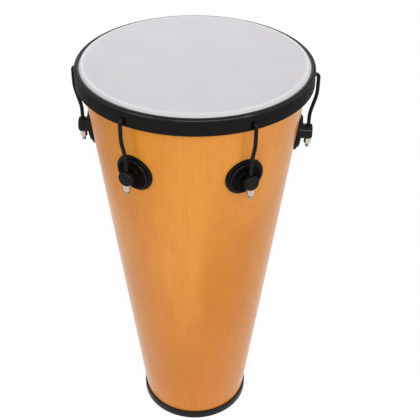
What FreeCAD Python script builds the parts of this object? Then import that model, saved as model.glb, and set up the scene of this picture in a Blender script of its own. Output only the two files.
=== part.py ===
"""Timbal drum: a tall tapered shell with a plastic head, drawn down by six bent hooks.

Millimetres, +Z up. The origin is the centre of the underside of the foot ring, where the drum
stands. Lug 1 is on +X, and the others follow anticlockwise, seen from above.

The sheet holds every size. Pieces that turn about the drum's axis are drawn in the drum's frame.
Pieces that repeat round it are drawn about a point of their own, with X pointing outwards, and
their Placement takes them to the shell.
"""

import FreeCAD, Part
import math
import os
import re
import Sketcher

from FreeCAD import Vector

# Sizes that can be set by themselves
SIZES = (
    ("shell_height", 697.2, "shell, from its foot edge to its bearing edge"),
    ("foot_radius", 93.4, "outer radius of the shell at its foot edge"),
    ("top_radius", 178.6, "outer radius of the shell at its bearing edge"),
    ("shell_wall", 7.0, "plywood, square to its face"),
    ("bearing_round", 5.0, "outer round of the bearing edge"),
    ("bearing_chamfer", 1.0, "inner bevel of the bearing edge"),
    ("seat_gap", 0.1, "play between curved faces that seat on each other"),
    ("ring_floor", 3.0, "foot ring under the shell's edge"),
    ("ring_wall", 4.6, "foot ring outside the shell's edge"),
    ("ring_height", 16.1, "outer wall of the foot ring"),
    ("ring_lip_height", 10.0, "inner wall of the foot ring"),
    ("ring_lip_wall", 2.5, "thickness of that inner wall"),
    ("ring_round", 1.6, "rounds of the foot ring"),
    ("head_gap", 0.3, "film over the bearing edge"),
    ("film_thickness", 0.4, "plastic film"),
    ("collar_play", 1.4, "collar of the film outside the top radius"),
    ("channel_wall", 0.9, "walls of the flesh hoop's channel"),
    ("channel_width", 5.15, "flesh hoop, across"),
    ("channel_height", 8.0, "flesh hoop, tall"),
    ("channel_round", 0.8, "outer round of the flesh hoop"),
    ("channel_slot", 0.15, "inner wall of the channel to the film"),
    ("collar_end_gap", 0.3, "end of the film over the channel's floor"),
    ("bead_drop", 0.5, "bead below the rim of the channel"),
    ("head_rise", 3.0, "playing surface over the counter hoop"),
    ("hoop_height", 26.4, "counter hoop, tall"),
    ("hoop_wall", 2.5, "steel of the counter hoop's band"),
    ("lip_thickness", 2.5, "steel of its lip"),
    ("lip_play", 0.5, "lip outside the collar of the film"),
    ("lip_round", 0.8, "rounds of the hoop's free edges"),
    ("hoop_play", 0.8, "band outside the flesh hoop"),
    ("hoop_round", 4.0, "outer round between band and lip"),
    ("rod_diameter", 6.0, "hook wire"),
    ("hook_drop", 15.3, "hook's leg below the top of the hoop"),
    ("hole_play", 0.25, "hoop's hole round the leg"),
    ("hook_standoff", 5.4, "hook's run outside the band, to its middle"),
    ("hook_bend", 5.0, "bend between leg and run, at its middle"),
    ("hook_tip_play", 0.8, "end of the leg outside the top radius"),
    ("hook_tip_round", 0.6, "rounds at both ends of the hook"),
    ("sway_drop", 40.0, "top of the S bend below the top of the hoop"),
    ("sway_straight", 17.8, "slanting straight between the two bends of the S"),
    ("sway_radius", 70.0, "both bends of the S, at their middle"),
    ("rod_spare", 7.5, "hook's end below its nut"),
    ("lug_drop", 116.5, "middle of a lug below the top of the hoop"),
    ("pad_radius", 31.0, "pad under a lug"),
    ("pad_thickness", 3.0, "that pad, at its middle"),
    ("pad_round", 1.8, "rim of the pad"),
    ("flange_radius", 26.5, "round flange of a lug"),
    ("flange_thickness", 3.6, "that flange"),
    ("flange_round", 2.0, "rim of the flange"),
    ("post_radius", 12.2, "round post of a lug"),
    ("post_reach", 25.6, "post's outer end from the shell"),
    ("post_round", 3.0, "rim of the post's outer end"),
    ("post_fillet", 2.4, "fillet between post and flange"),
    ("rod_reach", 18.95, "middle of the rod from the shell, at the lug"),
    ("rod_play", 0.5, "lug's hole round the rod"),
    ("flat_height", 11.0, "middle of the post to the flat under it"),
    ("flat_play", 0.6, "edge of that flat outside the washer"),
    ("washer_radius", 6.3, "washer under a lug"),
    ("washer_thickness", 1.4, "that washer"),
    ("nut_flats", 10.0, "tuning nut, across its flats"),
    ("nut_height", 8.9, "tuning nut, tall"),
    ("nut_chamfer", 0.5, "depth of the cut at a nut's corners"),
    ("thread_play", 0.1, "nut's bore round the rod"),
    ("nut_gap", 0.1, "nut below its washer"),
    ("screw_diameter", 6.0, "screw that holds a lug"),
    ("screw_depth", 9.0, "screw in the lug, from its flange's back"),
    ("screw_play", 0.15, "holes round that screw"),
    ("screw_head_radius", 5.6, "its domed head"),
    ("screw_head_height", 3.8, "that head"),
    ("screw_head_round", 2.4, "crown of that head"),
    ("inner_washer_radius", 10.0, "washer inside the shell"),
    ("inner_washer_thickness", 1.5, "that washer"),
    ("inner_washer_gap", 0.3, "rim of that washer off the shell"),
    ("cut_over", 5.0, "overrun of the cuts"),
)

# Counts
COUNTS = (("lug_count", 6, "lugs, hooks, nuts and screws round the drum"),)

# Sizes that follow from those above
DERIVED = (
    ("cone_angle", "atan((top_radius - foot_radius) / shell_height)", "slope of the shell"),
    ("wall_across", "shell_wall / cos(cone_angle)", "shell's wall, measured level"),
    ("shell_top", "ring_floor + shell_height", "bearing edge over the ground"),
    ("head_top", "shell_top + head_gap + film_thickness", "playing surface"),
    ("film_round", "bearing_round + collar_play", "shoulder of the film"),
    ("collar_radius", "top_radius + collar_play", "outside of the film's collar"),
    ("hoop_top", "head_top - head_rise", "top of the counter hoop"),
    ("channel_top", "hoop_top - lip_thickness", "top of the flesh hoop"),
    ("channel_foot", "channel_top - channel_height", "underside of the flesh hoop"),
    ("channel_inside", "collar_radius - film_thickness - channel_slot - channel_wall", "its bore"),
    ("channel_outside", "channel_inside + channel_width", "its outer radius"),
    ("hoop_inside", "channel_outside + hoop_play", "inner radius of the band"),
    ("hoop_outside", "hoop_inside + hoop_wall", "outer radius of the band"),
    ("hook_height", "hoop_top - hook_drop", "leg of a hook"),
    ("hook_run", "hoop_outside + hook_standoff", "straight run of a hook"),
    ("lug_height", "hoop_top - lug_drop", "middle of a lug"),
    ("lug_seat", "foot_radius + (lug_height - ring_floor) * tan(cone_angle)", "shell at a lug"),
    ("rod_radius", "rod_diameter / 2", "hook wire"),
    ("rod_place", "lug_seat + rod_reach", "middle of a rod"),
    ("washer_foot", "lug_height - flat_height - washer_thickness", "underside of a washer"),
    ("nut_foot", "washer_foot - nut_gap - nut_height", "underside of a nut"),
    ("rod_foot", "nut_foot - rod_spare", "lower end of a hook"),
    ("screw_radius", "screw_diameter / 2", "screw that holds a lug"),
)

SHEET = "Sizes"
doc = FreeCAD.newDocument("timbal_drum")


def linked(formula):
    """The formula with the sheet's name before each of its words, which all have an underscore."""
    return re.sub(r"[a-z]+(?:_[a-z]+)+", rf"{SHEET}.\g<0>", str(formula))


def number(formula):
    """What a formula of the sheet's words comes to, in millimetres or degrees."""
    found = doc.getObject(SHEET).evalExpression(str(formula))
    return float(getattr(found, "Value", found))


def make_sheet():
    """Fill the sheet: counts and sizes as plain numbers, then what follows from them."""
    sheet = doc.addObject("Spreadsheet::Sheet", SHEET)
    rows = [(word, str(given), note) for word, given, note in COUNTS + SIZES]
    rows += [(word, "=" + formula, note) for word, formula, note in DERIVED]
    for row, (word, content, note) in enumerate(rows, start=1):
        sheet.set(f"A{row}", note)
        sheet.set(f"B{row}", content)
        sheet.setAlias(f"B{row}", word)
    doc.recompute()
    return sheet


# Sketches

def origin_part(body, role):
    """A plane or axis of the body's own origin."""
    return next(part for part in body.Origin.OriginFeatures if part.Role == role)


def new_body(label, several=False):
    """An empty body. With several, its copies may lie apart."""
    body = doc.addObject("PartDesign::Body", label)
    body.Label = label
    body.AllowCompound = several
    return body


def new_sketch(body, name, plane, across="0", up="0", turn="0", lift="0"):
    """An empty sketch on one of the body's planes, moved and turned in it by formulas."""
    sketch = body.newObject("Sketcher::SketchObject", name)
    sketch.AttachmentSupport = [(origin_part(body, plane), "")]
    sketch.MapMode = "FlatFace"
    moves = (("Base.x", across), ("Base.y", up), ("Base.z", lift), ("Rotation.Angle", turn))
    for path, formula in moves:
        if formula != "0":
            sketch.setExpression(f".AttachmentOffset.{path}", linked(formula))
    return sketch


def hold(sketch, kind, parts, formula):
    """One driving constraint, bound to its formula."""
    index = sketch.addConstraint(Sketcher.Constraint(kind, *parts, number(formula)))
    if formula != "0":
        sketch.setExpression(f"Constraints[{index}]", linked(formula))


def place_point(sketch, element, end, point):
    """Hold one point of the sketch at two formulas from the sketch's origin."""
    hold(sketch, "DistanceX", (-1, 1, element, end), point[0])
    hold(sketch, "DistanceY", (-1, 1, element, end), point[1])


def corner_cut(before, corner, after, radius):
    """The two tangent points and the middle point of the round at a corner."""
    back = (before - corner).normalize()
    ahead = (after - corner).normalize()
    half = back.getAngle(ahead) / 2
    reach = radius / math.tan(half)
    middle = (back + ahead).normalize() * (radius / math.sin(half) - radius)
    return corner + back * reach, corner + middle, corner + ahead * reach


def draw(sketch, corners, closed=True):
    """Straight runs through corners (across, up) or rounded ones (across, up, radius).

    Lines and arcs share end points, and each corner, or the meeting point of its two lines,
    is held by its formulas.
    """
    places = [Vector(number(corner[0]), number(corner[1]), 0) for corner in corners]
    rounds = []
    for index, corner in enumerate(corners):
        if len(corner) < 3:
            rounds.append((places[index],))
            continue
        before, after = places[index - 1], places[(index + 1) % len(places)]
        rounds.append(corner_cut(before, places[index], after, number(corner[2])))
    last = len(corners) if closed else len(corners) - 1
    lines = [
        sketch.addGeometry(Part.LineSegment(rounds[i][-1], rounds[(i + 1) % len(rounds)][0]))
        for i in range(last)
    ]
    for index, corner in enumerate(corners):
        before = lines[index - 1] if closed or index > 0 else None
        after = lines[index] if index < last else None
        if len(corner) < 3:
            if before is not None and after is not None:
                sketch.addConstraint(Sketcher.Constraint("Coincident", before, 2, after, 1))
            held = (after, 1) if after is not None else (before, 2)
            place_point(sketch, *held, corner)
            continue
        arc = sketch.addGeometry(Part.Arc(*rounds[index]))
        clockwise = (places[index] - rounds[index][0]).cross(
            rounds[index][-1] - places[index]).z < 0
        first, final = (2, 1) if clockwise else (1, 2)
        sketch.addConstraint(Sketcher.Constraint("Tangent", before, 2, arc, first))
        sketch.addConstraint(Sketcher.Constraint("Tangent", after, 1, arc, final))
        hold(sketch, "Radius", (arc,), corner[2])
        meeting = sketch.addGeometry(Part.Point(places[index]), True)
        place_point(sketch, meeting, 1, corner)
        for line in (before, after):
            sketch.addConstraint(Sketcher.Constraint("PointOnObject", meeting, 1, line))
    return sketch


def circle(sketch, across, up, radius):
    """A circle held by its middle and its radius."""
    middle = Vector(number(across), number(up), 0)
    ring = sketch.addGeometry(Part.Circle(middle, Vector(0, 0, 1), number(radius)))
    place_point(sketch, ring, 3, (across, up))
    hold(sketch, "Radius", (ring,), radius)
    return sketch


# Features

def turned(body, sketch, name, kind="PartDesign::Revolution", axis="V_Axis"):
    """The profile turned once round an axis of its sketch."""
    feature = body.newObject(kind, name)
    feature.Profile = sketch
    feature.ReferenceAxis = (sketch, [axis])
    feature.Angle = 360
    doc.recompute()
    return feature


def cut_round(body, sketch, name, axis="H_Axis"):
    """A groove round an axis of its sketch, checked to have cut something."""
    before = body.Shape.Volume
    feature = turned(body, sketch, name, "PartDesign::Groove", axis)
    check_cut(feature, before)
    return feature


def pushed(body, sketch, name, length, kind="PartDesign::Pad", reverse=False):
    """The profile pushed out, or cut in, by a length."""
    before = body.Shape.Volume if kind == "PartDesign::Pocket" else None
    feature = body.newObject(kind, name)
    feature.Profile = sketch
    feature.setExpression("Length", linked(length))
    feature.Reversed = reverse
    doc.recompute()
    if before is not None:
        check_cut(feature, before)
    return feature


def check_cut(feature, before):
    """Stop if a cut took nothing away."""
    if feature.Shape.Volume >= before:
        raise RuntimeError(f"{feature.Label} cuts nothing")


def repeated(body, features, name):
    """The features repeated round the drum's axis, once for each lug."""
    feature = body.newObject("PartDesign::PolarPattern", name)
    feature.Originals = features
    feature.Axis = (origin_part(body, "Z_Axis"), [""])
    feature.Angle = 360
    feature.setExpression("Occurrences", linked("lug_count"))
    body.Tip = feature
    doc.recompute()
    return feature


def edges_where(feature, wanted):
    """The names of a feature's edges that a test picks."""
    return [f"Edge{i}" for i, edge in enumerate(feature.Shape.Edges, start=1) if wanted(edge)]


def blended(body, base, name, radius, wanted):
    """A fillet on the edges that a test picks."""
    feature = body.newObject("PartDesign::Fillet", name)
    feature.Base = (base, edges_where(base, wanted))
    feature.setExpression("Radius", linked(radius))
    doc.recompute()
    return feature


def set_round(body, place, radius, height):
    """Stand a piece on its radius and height at one lug's place round the drum."""
    turn = f"360 * {place} / lug_count"
    body.setExpression(".Placement.Base.x", linked(f"{radius} * cos({turn})"))
    body.setExpression(".Placement.Base.y", linked(f"{radius} * sin({turn})"))
    body.setExpression(".Placement.Base.z", linked(height))
    body.setExpression(".Placement.Rotation.Angle", linked(turn))


def outside_at(height):
    """The shell's outer radius at a height over the ground."""
    return f"foot_radius + ({height} - ring_floor) * tan(cone_angle)"


def inside_at(height):
    """The shell's inner radius at a height over the ground."""
    return f"foot_radius - wall_across + ({height} - ring_floor) * tan(cone_angle)"


# Shell and foot ring

def make_shell():
    """The tapered wall, its bearing edge, and the holes for the lugs' screws."""
    body = new_body("shell")
    bevel_foot = "shell_top - bearing_chamfer"
    profile = draw(new_sketch(body, "shell_profile", "XZ_Plane"), (
        (inside_at("ring_floor"), "ring_floor"),
        ("foot_radius", "ring_floor"),
        ("top_radius", "shell_top", "bearing_round"),
        ("top_radius - wall_across + bearing_chamfer", "shell_top"),
        (inside_at(bevel_foot), bevel_foot),
    ))
    turned(body, profile, "shell_wall")
    hole = draw(new_sketch(body, "screw_hole_profile", "XZ_Plane",
                           across="lug_seat", up="lug_height", turn="-cone_angle"), (
        ("-shell_wall - cut_over", "0"),
        ("cut_over", "0"),
        ("cut_over", "screw_radius + screw_play"),
        ("-shell_wall - cut_over", "screw_radius + screw_play"),
    ))
    repeated(body, [cut_round(body, hole, "screw_hole")], "screw_holes")
    return body


def make_foot_ring():
    """The moulded channel that the shell's foot edge stands in."""
    body = new_body("foot_ring")
    bore = "foot_radius - wall_across - seat_gap - ring_lip_wall"
    profile = draw(new_sketch(body, "foot_ring_profile", "XZ_Plane"), (
        (bore, "0"),
        ("foot_radius + ring_wall", "0", "ring_round"),
        ("foot_radius + ring_wall", "ring_height", "ring_round"),
        (outside_at("ring_height") + " + seat_gap", "ring_height"),
        ("foot_radius + seat_gap", "ring_floor"),
        (inside_at("ring_floor") + " - seat_gap", "ring_floor"),
        (inside_at("ring_lip_height") + " - seat_gap", "ring_lip_height"),
        (bore, "ring_lip_height"),
    ))
    turned(body, profile, "foot_ring_turned")
    return body


# Head and counter hoop

def make_head_film():
    """The film: a flat playing area, a rounded shoulder and a collar down into the flesh hoop."""
    body = new_body("head_film")
    collar_foot = "channel_foot + channel_wall + collar_end_gap"
    profile = draw(new_sketch(body, "film_profile", "XZ_Plane"), (
        ("0", "head_top - film_thickness"),
        ("collar_radius - film_thickness", "head_top - film_thickness",
         "film_round - film_thickness"),
        ("collar_radius - film_thickness", collar_foot),
        ("collar_radius", collar_foot),
        ("collar_radius", "head_top", "film_round"),
        ("0", "head_top"),
    ))
    turned(body, profile, "film_turned")
    return body


def make_head_hoop():
    """The flesh hoop: a channel, open upwards, round the edge of the film."""
    body = new_body("head_hoop")
    floor = "channel_foot + channel_wall"
    profile = draw(new_sketch(body, "channel_profile", "XZ_Plane"), (
        ("channel_inside", "channel_foot"),
        ("channel_outside", "channel_foot"),
        ("channel_outside", "channel_top", "channel_round"),
        ("channel_outside - channel_wall", "channel_top"),
        ("channel_outside - channel_wall", floor),
        ("channel_inside + channel_wall", floor),
        ("channel_inside + channel_wall", "channel_top"),
        ("channel_inside", "channel_top"),
    ))
    turned(body, profile, "channel_turned")
    return body


def make_head_bead():
    """The cast bead that locks the film's edge in the channel."""
    body = new_body("head_bead")
    floor = "channel_foot + channel_wall"
    outside = "channel_outside - channel_wall - seat_gap"
    profile = draw(new_sketch(body, "bead_profile", "XZ_Plane"), (
        ("collar_radius + seat_gap", floor),
        (outside, floor),
        (outside, "channel_top - bead_drop"),
        ("collar_radius + seat_gap", "channel_top - bead_drop"),
    ))
    turned(body, profile, "bead_turned")
    return body


def make_counter_hoop():
    """The hoop: a band with a lip turned in over the flesh hoop, and a hole for each hook."""
    body = new_body("counter_hoop")
    lip_edge = "collar_radius + lip_play"
    profile = draw(new_sketch(body, "hoop_profile", "XZ_Plane"), (
        (lip_edge, "hoop_top - lip_thickness"),
        ("hoop_inside", "hoop_top - lip_thickness", "hoop_round - hoop_wall"),
        ("hoop_inside", "hoop_top - hoop_height"),
        ("hoop_outside", "hoop_top - hoop_height", "lip_round"),
        ("hoop_outside", "hoop_top", "hoop_round"),
        (lip_edge, "hoop_top", "lip_round"),
    ))
    turned(body, profile, "hoop_turned")
    hole = circle(new_sketch(body, "hook_hole_profile", "YZ_Plane"),
                  "0", "hook_height", "rod_radius + hole_play")
    cut = pushed(body, hole, "hook_hole", "hoop_outside + cut_over", "PartDesign::Pocket",
                 reverse=True)
    repeated(body, [cut], "hook_holes")
    return body


# Hooks

def sway():
    """How far each bend of the S turns, in radians, and how tall the S is."""
    aside = number("hook_run - rod_place")
    straight = number("sway_straight")
    twice = 2 * number("sway_radius")
    turn = math.acos((twice - aside) / math.hypot(twice, straight)) - math.atan2(straight, twice)
    return turn, twice * math.sin(turn) + straight * math.cos(turn)


def draw_hook_path(sketch):
    """The hook's middle line from its threaded end, at the origin, up to its leg."""
    turn, height = sway()
    upper, top = number("hoop_top - sway_drop - rod_foot"), number("hook_height - rod_foot")
    lower, aside = upper - height, number("hook_run - rod_place")
    radius, bend = number("sway_radius"), number("hook_bend")
    tip = number("top_radius + hook_tip_play - rod_place")

    def on_arc(across, up, reach, angle):
        return Vector(across + reach * math.cos(angle), up + reach * math.sin(angle), 0)

    inner = [on_arc(radius, lower, radius, math.pi - turn * part) for part in (0, 1 / 2, 1)]
    outer = [on_arc(aside - radius, upper, radius, -turn * part) for part in (1, 1 / 2, 0)]
    crown = [on_arc(aside - bend, top - bend, bend, math.pi / 2 * part) for part in (0, 1 / 2, 1)]
    stops = [Vector(0, 0, 0)] + [arc[i] for arc in (inner, outer, crown) for i in (0, 2)]
    stops.append(Vector(tip, top, 0))
    lines = [sketch.addGeometry(Part.LineSegment(*stops[i:i + 2])) for i in (0, 2, 4, 6)]
    # Each arc with the numbers of its first and its final end, along the hook
    arcs = [
        (sketch.addGeometry(Part.Arc(*inner)), 2, 1),
        (sketch.addGeometry(Part.Arc(*outer)), 1, 2),
        (sketch.addGeometry(Part.Arc(*crown)), 1, 2),
    ]
    for index, (arc, first, final) in enumerate(arcs):
        sketch.addConstraint(Sketcher.Constraint("Tangent", lines[index], 2, arc, first))
        sketch.addConstraint(Sketcher.Constraint("Tangent", arc, final, lines[index + 1], 1))
    place_point(sketch, lines[0], 1, ("0", "0"))
    sketch.addConstraint(Sketcher.Constraint("Vertical", lines[0]))
    hold(sketch, "Distance", (lines[1],), "sway_straight")
    for index in (0, 1):
        hold(sketch, "Radius", (arcs[index][0],), "sway_radius")
    place_point(sketch, lines[2], 1, ("hook_run - rod_place", "hoop_top - sway_drop - rod_foot"))
    sketch.addConstraint(Sketcher.Constraint("Vertical", lines[2]))
    hold(sketch, "Radius", (arcs[2][0],), "hook_bend")
    place_point(sketch, lines[3], 2,
                ("top_radius + hook_tip_play - rod_place", "hook_height - rod_foot"))
    return sketch


def make_hook(place):
    """One hook: wire bent along its path, with both ends rounded."""
    body = new_body(f"tension_hook_{place + 1}")
    path = draw_hook_path(new_sketch(body, "hook_path", "XZ_Plane"))
    section = circle(new_sketch(body, "hook_section", "XY_Plane"), "0", "0", "rod_radius")
    doc.recompute()
    wire = body.newObject("PartDesign::AdditivePipe", "hook_wire")
    wire.Profile = section
    wire.Spine = (path, [f"Edge{i + 1}" for i in range(len(path.Shape.Edges))])
    doc.recompute()
    ends = (Vector(0, 0, 0), Vector(number("top_radius + hook_tip_play - rod_place"), 0,
                                    number("hook_height - rod_foot")))
    near = number("hook_tip_round")

    def at_an_end(edge):
        return isinstance(edge.Curve, Part.Circle) and any(
            edge.Curve.Center.distanceToPoint(end) < near for end in ends)

    blended(body, wire, "hook_ends", "hook_tip_round", at_an_end)
    set_round(body, place, "rod_place", "rod_foot")
    return body


# Lugs

def make_lug(place):
    """One lug: a flange square to the shell, a level post, and holes for the rod and the screw."""
    body = new_body(f"lug_{place + 1}")
    flange = draw(new_sketch(body, "flange_profile", "XZ_Plane", turn="-cone_angle"), (
        ("pad_thickness", "0"),
        ("pad_thickness + flange_thickness", "0"),
        ("pad_thickness + flange_thickness", "flange_radius", "flange_round"),
        ("pad_thickness", "flange_radius"),
    ))
    disc = turned(body, flange, "flange", axis="H_Axis")
    front = max(range(len(disc.Shape.Faces)), key=lambda i: disc.Shape.Faces[i].CenterOfMass.x)
    outline = circle(new_sketch(body, "post_section", "YZ_Plane", lift="post_reach"),
                     "0", "0", "post_radius")
    post = body.newObject("PartDesign::Pad", "post")
    post.Profile = outline
    post.Reversed = True
    post.Type = "UpToFace"
    post.UpToFace = (disc, [f"Face{front + 1}"])
    doc.recompute()
    end = number("post_reach")
    flange_front = number("pad_thickness + flange_thickness")
    slope = number("cone_angle") * math.pi / 180
    close = number("seat_gap")

    def at_post_end(edge):
        return all(abs(point.x - end) < close for point in edge.discretize(3))

    def at_post_root(edge):
        reaches = [p.x * math.cos(slope) - p.z * math.sin(slope) for p in edge.discretize(3)]
        aside = [math.hypot(p.y, p.z) for p in edge.discretize(3)]
        return (all(abs(reach - flange_front) < close for reach in reaches)
                and all(abs(distance - number("post_radius")) < close for distance in aside))

    rim = blended(body, post, "post_rim", "post_round", at_post_end)
    root = blended(body, rim, "post_root", "post_fillet", at_post_root)
    below = "-post_radius - cut_over"
    rod_hole = circle(new_sketch(body, "rod_hole_profile", "XY_Plane", lift=below),
                      "rod_reach", "0", "rod_radius + rod_play")
    pushed(body, rod_hole, "rod_hole", "2 * (post_radius + cut_over)", "PartDesign::Pocket",
           reverse=True)
    flat = circle(new_sketch(body, "flat_profile", "XY_Plane", lift="-flat_height"),
                  "rod_reach", "0", "washer_radius + flat_play")
    pushed(body, flat, "washer_flat", "post_radius", "PartDesign::Pocket")
    bore = "screw_radius + screw_play"
    depth = "pad_thickness + screw_depth + screw_play"
    screw_hole = draw(new_sketch(body, "screw_hole_profile", "XZ_Plane", turn="-cone_angle"), (
        ("0", "0"), (depth, "0"), (depth, bore), ("0", bore)))
    cut_round(body, screw_hole, "screw_hole")
    set_round(body, place, "lug_seat", "lug_height")
    return body


def make_pad(place):
    """One pad: a disc square to the shell, its back hollowed to the shell's own cone."""
    body = new_body(f"lug_pad_{place + 1}")
    bore = "screw_radius + screw_play"
    depth = "-pad_radius"
    disc = draw(new_sketch(body, "pad_profile", "XZ_Plane", turn="-cone_angle"), (
        (depth, bore),
        ("pad_thickness", bore),
        ("pad_thickness", "pad_radius", "pad_round"),
        (depth, "pad_radius"),
    ))
    turned(body, disc, "pad_disc", axis="H_Axis")
    half = "2 * pad_radius"
    face = "seat_gap + {} * tan(cone_angle)"
    cone = draw(new_sketch(body, "cone_profile", "XZ_Plane", across="-lug_seat"), (
        ("0", f"-({half})"),
        (f"lug_seat + {face.format(f'-({half})')}", f"-({half})"),
        (f"lug_seat + {face.format(half)}", half),
        ("0", half),
    ))
    cut_round(body, cone, "cone_seat", axis="V_Axis")
    set_round(body, place, "lug_seat", "lug_height")
    return body


# Nuts, washers and screws

def make_nut(place):
    """One tuning nut: a hexagon with its corners turned off, bored for the rod."""
    body = new_body(f"tension_nut_{place + 1}")
    corner = number("nut_flats") / math.sqrt(3)
    sketch = new_sketch(body, "nut_section", "XY_Plane")
    points = [Vector(corner * math.cos(math.pi * k / 3), corner * math.sin(math.pi * k / 3), 0)
              for k in range(6)]
    sides = [sketch.addGeometry(Part.LineSegment(points[k], points[(k + 1) % 6]))
             for k in range(6)]
    ring = sketch.addGeometry(Part.Circle(Vector(0, 0, 0), Vector(0, 0, 1), corner), True)
    for k, side in enumerate(sides):
        sketch.addConstraint(Sketcher.Constraint("Coincident", side, 2, sides[(k + 1) % 6], 1))
        sketch.addConstraint(Sketcher.Constraint("PointOnObject", side, 1, ring))
        if k:
            sketch.addConstraint(Sketcher.Constraint("Equal", sides[0], side))
    sketch.addConstraint(Sketcher.Constraint("Coincident", ring, 3, -1, 1))
    sketch.addConstraint(Sketcher.Constraint("PointOnObject", sides[0], 1, -1))
    hold(sketch, "Radius", (ring,), "nut_flats / sqrt(3)")
    pushed(body, sketch, "nut_block", "nut_height")
    bore = circle(new_sketch(body, "nut_bore_profile", "XY_Plane"), "0", "0",
                  "rod_radius + thread_play")
    pushed(body, bore, "nut_bore", "nut_height", "PartDesign::Pocket", reverse=True)
    reach = "(nut_flats / sqrt(3) + nut_chamfer)"
    for name, face, depth in (("lower", "0", "nut_chamfer"),
                              ("upper", "nut_height", "(nut_height - nut_chamfer)")):
        trim = draw(new_sketch(body, f"{name}_corner_profile", "XZ_Plane"), (
            ("nut_flats / 2", face), (reach, face), (reach, depth)))
        cut_round(body, trim, f"{name}_corners", axis="V_Axis")
    set_round(body, place, "rod_place", "nut_foot")
    return body


def make_tension_washers():
    """The six washers between the lugs' flats and the nuts."""
    body = new_body("tension_washers", several=True)
    sketch = new_sketch(body, "washer_profile", "XY_Plane", lift="washer_foot")
    circle(sketch, "rod_place", "0", "washer_radius")
    circle(sketch, "rod_place", "0", "rod_radius + rod_play")
    repeated(body, [pushed(body, sketch, "washer", "washer_thickness")], "washers")
    return body


def hollow_behind(radius):
    """How far a flat disc of a radius stands off the shell's curved inner face at its middle."""
    wall = "(lug_seat - wall_across)"
    return f"({wall} - sqrt({wall} * {wall} - {radius} * {radius}) + inner_washer_gap)"


def make_lug_screws():
    """The six screws that pass through the shell and the pads into the lugs."""
    body = new_body("lug_screws", several=True)
    seat = f"-shell_wall - {hollow_behind('inner_washer_radius')} - inner_washer_thickness"
    sketch = draw(new_sketch(body, "screw_profile", "XZ_Plane",
                             across="lug_seat", up="lug_height", turn="-cone_angle"), (
        (f"{seat} - screw_head_height", "0"),
        ("pad_thickness + screw_depth", "0"),
        ("pad_thickness + screw_depth", "screw_radius"),
        (seat, "screw_radius"),
        (seat, "screw_head_radius"),
        (f"{seat} - screw_head_height", "screw_head_radius", "screw_head_round"),
    ))
    repeated(body, [turned(body, sketch, "screw", axis="H_Axis")], "screws")
    return body


def make_lug_screw_washers():
    """The six wide washers between those screws' heads and the shell."""
    body = new_body("lug_screw_washers", several=True)
    face = f"-shell_wall - {hollow_behind('inner_washer_radius')}"
    sketch = draw(new_sketch(body, "inner_washer_profile", "XZ_Plane",
                             across="lug_seat", up="lug_height", turn="-cone_angle"), (
        (f"{face} - inner_washer_thickness", "screw_radius + screw_play"),
        (face, "screw_radius + screw_play"),
        (face, "inner_washer_radius"),
        (f"{face} - inner_washer_thickness", "inner_washer_radius"),
    ))
    repeated(body, [turned(body, sketch, "inner_washer", axis="H_Axis")], "inner_washers")
    return body


def make_all():
    """Every piece: the rings first, then the sets round the drum."""
    pieces = [make_shell(), make_foot_ring(), make_head_film(), make_head_hoop(),
              make_head_bead(), make_counter_hoop(), make_tension_washers(),
              make_lug_screws(), make_lug_screw_washers()]
    for place in range(int(number("lug_count"))):
        pieces += [make_pad(place), make_lug(place), make_hook(place), make_nut(place)]
    return pieces


def check(pieces):
    """Stop if any object failed or any piece has no sound solid."""
    for thing in doc.Objects:
        if {"Invalid", "Error"} & set(thing.State):
            raise RuntimeError(f"{thing.Name} did not rebuild: {thing.State}")
    for body in pieces:
        if body.Shape.isNull() or not body.Shape.isValid() or not body.Shape.Solids:
            raise RuntimeError(f"{body.Label} has no sound solid")


def export(pieces):
    """Write each piece under its own name."""
    os.makedirs("parts", exist_ok=True)
    for body in pieces:
        body.Shape.exportStep(f"parts/{body.Label}.step")


make_sheet()
drum = make_all()
doc.recompute()
check(drum)
export(drum)
print(f"{len(drum)} pieces, {sum(len(body.Shape.Solids) for body in drum)} solids")
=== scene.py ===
"""Looks of a timbal drum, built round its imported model.

Metres, +Z up, with the origin under the middle of the foot ring. Every visible piece is modelled
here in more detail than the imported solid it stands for, and takes its place from that solid's box.
Pieces that repeat round the drum are modelled at the first place, on +X, and turned to the others.
"""

import logging
import math
from collections.abc import Callable, Sequence
from dataclasses import dataclass
from enum import Enum

import bmesh
import bpy
from bmesh.types import BMEdge, BMesh, BMLayerItem, BMVert
from bpy.types import ID, Material, Mesh, Node, NodeSocket, NodeTree, Object
from mathutils import Matrix, Vector


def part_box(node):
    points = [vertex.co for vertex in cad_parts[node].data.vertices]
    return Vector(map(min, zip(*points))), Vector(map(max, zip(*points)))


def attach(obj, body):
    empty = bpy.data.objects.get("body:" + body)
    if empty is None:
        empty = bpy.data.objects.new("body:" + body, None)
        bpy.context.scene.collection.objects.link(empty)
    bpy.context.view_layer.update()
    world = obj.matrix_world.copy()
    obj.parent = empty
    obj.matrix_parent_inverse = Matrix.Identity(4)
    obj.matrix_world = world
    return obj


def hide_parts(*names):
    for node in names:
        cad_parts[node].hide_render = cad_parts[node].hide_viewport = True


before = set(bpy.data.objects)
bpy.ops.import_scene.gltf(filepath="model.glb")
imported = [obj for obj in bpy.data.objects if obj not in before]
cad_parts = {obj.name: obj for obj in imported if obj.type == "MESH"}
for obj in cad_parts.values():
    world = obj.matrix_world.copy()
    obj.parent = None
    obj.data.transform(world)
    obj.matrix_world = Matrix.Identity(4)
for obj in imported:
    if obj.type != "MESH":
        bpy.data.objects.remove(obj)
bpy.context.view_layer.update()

LOG = logging.getLogger("timbal")

Pair = tuple[float, float]
Three = tuple[float, float, float]
Four = tuple[float, float, float, float]
Values = dict[int | str, object]

MM = 0.001
TURN = 2 * math.pi
QUARTER = math.pi / 2
ACROSS = Vector((1, 0, 0))
ASIDE = Vector((0, 1, 0))
UP = Vector((0, 0, 1))
CENTRE = Vector((0, 0, 0))

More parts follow.
